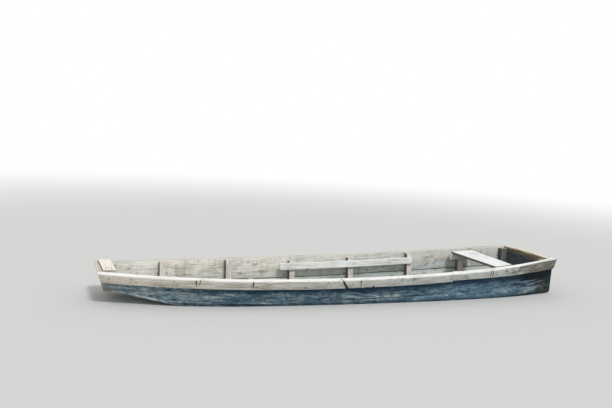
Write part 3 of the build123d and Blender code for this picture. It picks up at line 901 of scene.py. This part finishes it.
def nailRow(name, nodeNames, starts, heading, finishName):
    # a head wherever a line from outside meets the boards, all joined to one piece
    spots = [meet(nodeNames, start, heading) for start in starts]
    heads = []
    for point, facing in [spot for spot in spots if spot]:
        head = nailHead()
        turn = facing.to_track_quat("Z", "Y").to_matrix().to_4x4()
        head.transform(Matrix.Translation(point - facing * nail["sunk"]) @ turn)
        heads.append(head)
    row = joined(name, heads)
    only(row)
    bpy.ops.object.shade_smooth_by_angle(angle=radians(nail["smoothBelow"]))
    row.data.materials.append(finishes[finishName])
    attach(row, "root")


# at each frame: shift along the boat and distance below the top edge; others: x and that distance
sideNails = {
    "RailNails": {"boards": "rail", "finish": "nailIron",
                  "atFrames": ((-0.018, 0.026), (0.016, 0.064)),
                  "others": ((-2.5, 0.05), (-2.3, 0.03), (-2.255, 0.06), (-0.28, 0.03),
                             (-0.12, 0.045), (1.02, 0.03), (1.03, 0.06), (1.11, 0.03),
                             (1.12, 0.062), (2.5, 0.04), (2.49, 0.075))},
    "PlankNails": {"boards": "side", "finish": "paintedNail",
                   "atFrames": ((-0.015, 0.118), (0.014, 0.165), (-0.012, 0.212),
                                (0.012, 0.252), (-0.014, 0.29)),
                   "others": ()},
}

# where the lines start, distance from the middle line, heights
endNails = {
    "bowNails": {"boards": ("bow_board",), "from": -3.0, "aside": 0.192,
                 "heights": (0.25, 0.31, 0.37)},
    "transomNails": {"boards": ("transom_upper", "transom_lower"), "from": 3.0, "aside": 0.348,
                     "heights": (0.17, 0.25, 0.34, 0.41, 0.47)},
}

bpy.context.view_layer.update()
for sideName, side in sides.items():
    for rowName, row in sideNails.items():
        nodeNames = [name for name in boards[row["boards"]]["nodes"] if name.startswith(sideName)]
        places = [(x + shift, drop) for x in boat["frames"] for shift, drop in row["atFrames"]]
        starts = [(x, side, sheerAt(x) - drop) for x, drop in places + list(row["others"])]
        nailRow(sideName + rowName, nodeNames, starts, (0, -side, 0), row["finish"])
for rowName, row in endNails.items():
    starts = [(row["from"], y, z) for y in (-row["aside"], row["aside"]) for z in row["heights"]]
    nailRow(rowName, row["boards"], starts, (-row["from"], 0, 0), "nailIron")
print("nails ready")


# stage

stage = {
    "floorSize": 80.0, "floorThickness": 0.004, "floorColour": "#c6c7c5",
    "floorRoughness": 0.9, "floorShine": 0.1,
    "fadeFrom": 6.0, "fadeTo": 18.0,    # where the floor fades to white
    "worldLight": 0.74, "keyLight": 1.72,
    "keySpread": 12.0,                  # degrees
    "keyFrom": (0.14, -0.66, 0.90),
}


def hullPlug():
    # the shape of the hull's outside, which the floor leaves free
    shell = boards["side"]["nodes"] + boards["bottom"]["nodes"] + boards["transom"]["nodes"]
    plug = joined("plug", [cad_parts[nodeName].data for nodeName in shell])
    only(plug)
    bpy.ops.object.mode_set(mode="EDIT")
    bpy.ops.mesh.select_all(action="SELECT")
    bpy.ops.mesh.convex_hull()
    bpy.ops.object.mode_set(mode="OBJECT")
    return plug


def addFloor():
    plug = hullPlug()
    bpy.ops.object.select_all(action="DESELECT")
    height = boat["waterline"] - 0.5 * stage["floorThickness"]
    size = (stage["floorSize"], stage["floorSize"], stage["floorThickness"])
    bpy.ops.mesh.primitive_cube_add(size=1.0, location=(0, 0, height), scale=size)
    floor = bpy.context.object
    bpy.ops.object.transform_apply(location=True, rotation=True, scale=True)
    hole = floor.modifiers.new("hole", "BOOLEAN")
    hole.operation = "DIFFERENCE"
    hole.object = plug
    hole.solver = "EXACT"
    applyAll(floor)
    bpy.data.objects.remove(plug)
    floor.name = "floor"
    finish = Finish("floorFinish")
    finish.shader.inputs["Base Color"].default_value = ink(stage["floorColour"])
    finish.shader.inputs["Roughness"].default_value = stage["floorRoughness"]
    finish.shader.inputs["Specular IOR Level"].default_value = stage["floorShine"]
    reach = finish.node("ShaderNodeVectorMath", {"operation": "LENGTH"}, {0: finish.place}, "Value")
    glow = finish.node("ShaderNodeEmission", {}, {"Color": (1, 1, 1, 1), "Strength": 1.0})
    mixed = finish.node("ShaderNodeMixShader", {}, {
        0: finish.seen() * finish.step(reach, stage["fadeFrom"], stage["fadeTo"]),
        1: Wire(finish, finish.shader.outputs[0]), 2: glow})
    finish.surface(mixed, "Material Output")
    floor.data.materials.clear()
    floor.data.materials.append(finish.material)


def addLight():
    world = bpy.data.worlds.new("studio")
    world.use_nodes = True
    studio = NodeTree(world.node_tree)
    white = {"Color": (1, 1, 1, 1)}
    light = studio.node("ShaderNodeBackground", {}, {**white, "Strength": stage["worldLight"]})
    backdrop = studio.node("ShaderNodeBackground", {}, {**white, "Strength": 1.0})
    mixed = studio.node("ShaderNodeMixShader", {}, {0: studio.seen(), 1: light, 2: backdrop})
    studio.surface(mixed, "World Output")
    bpy.context.scene.world = world
    key = bpy.data.lights.new("keyLight", "SUN")
    key.energy = stage["keyLight"]
    key.angle = radians(stage["keySpread"])
    lamp = bpy.data.objects.new("keyLight", key)
    lamp.rotation_euler = Vector(stage["keyFrom"]).to_track_quat("Z", "Y").to_euler()
    bpy.context.scene.collection.objects.link(lamp)


bpy.context.scene.view_settings.view_transform = "Standard"
addFloor()
addLight()
print("stage ready")

bpy.context.view_layer.update()
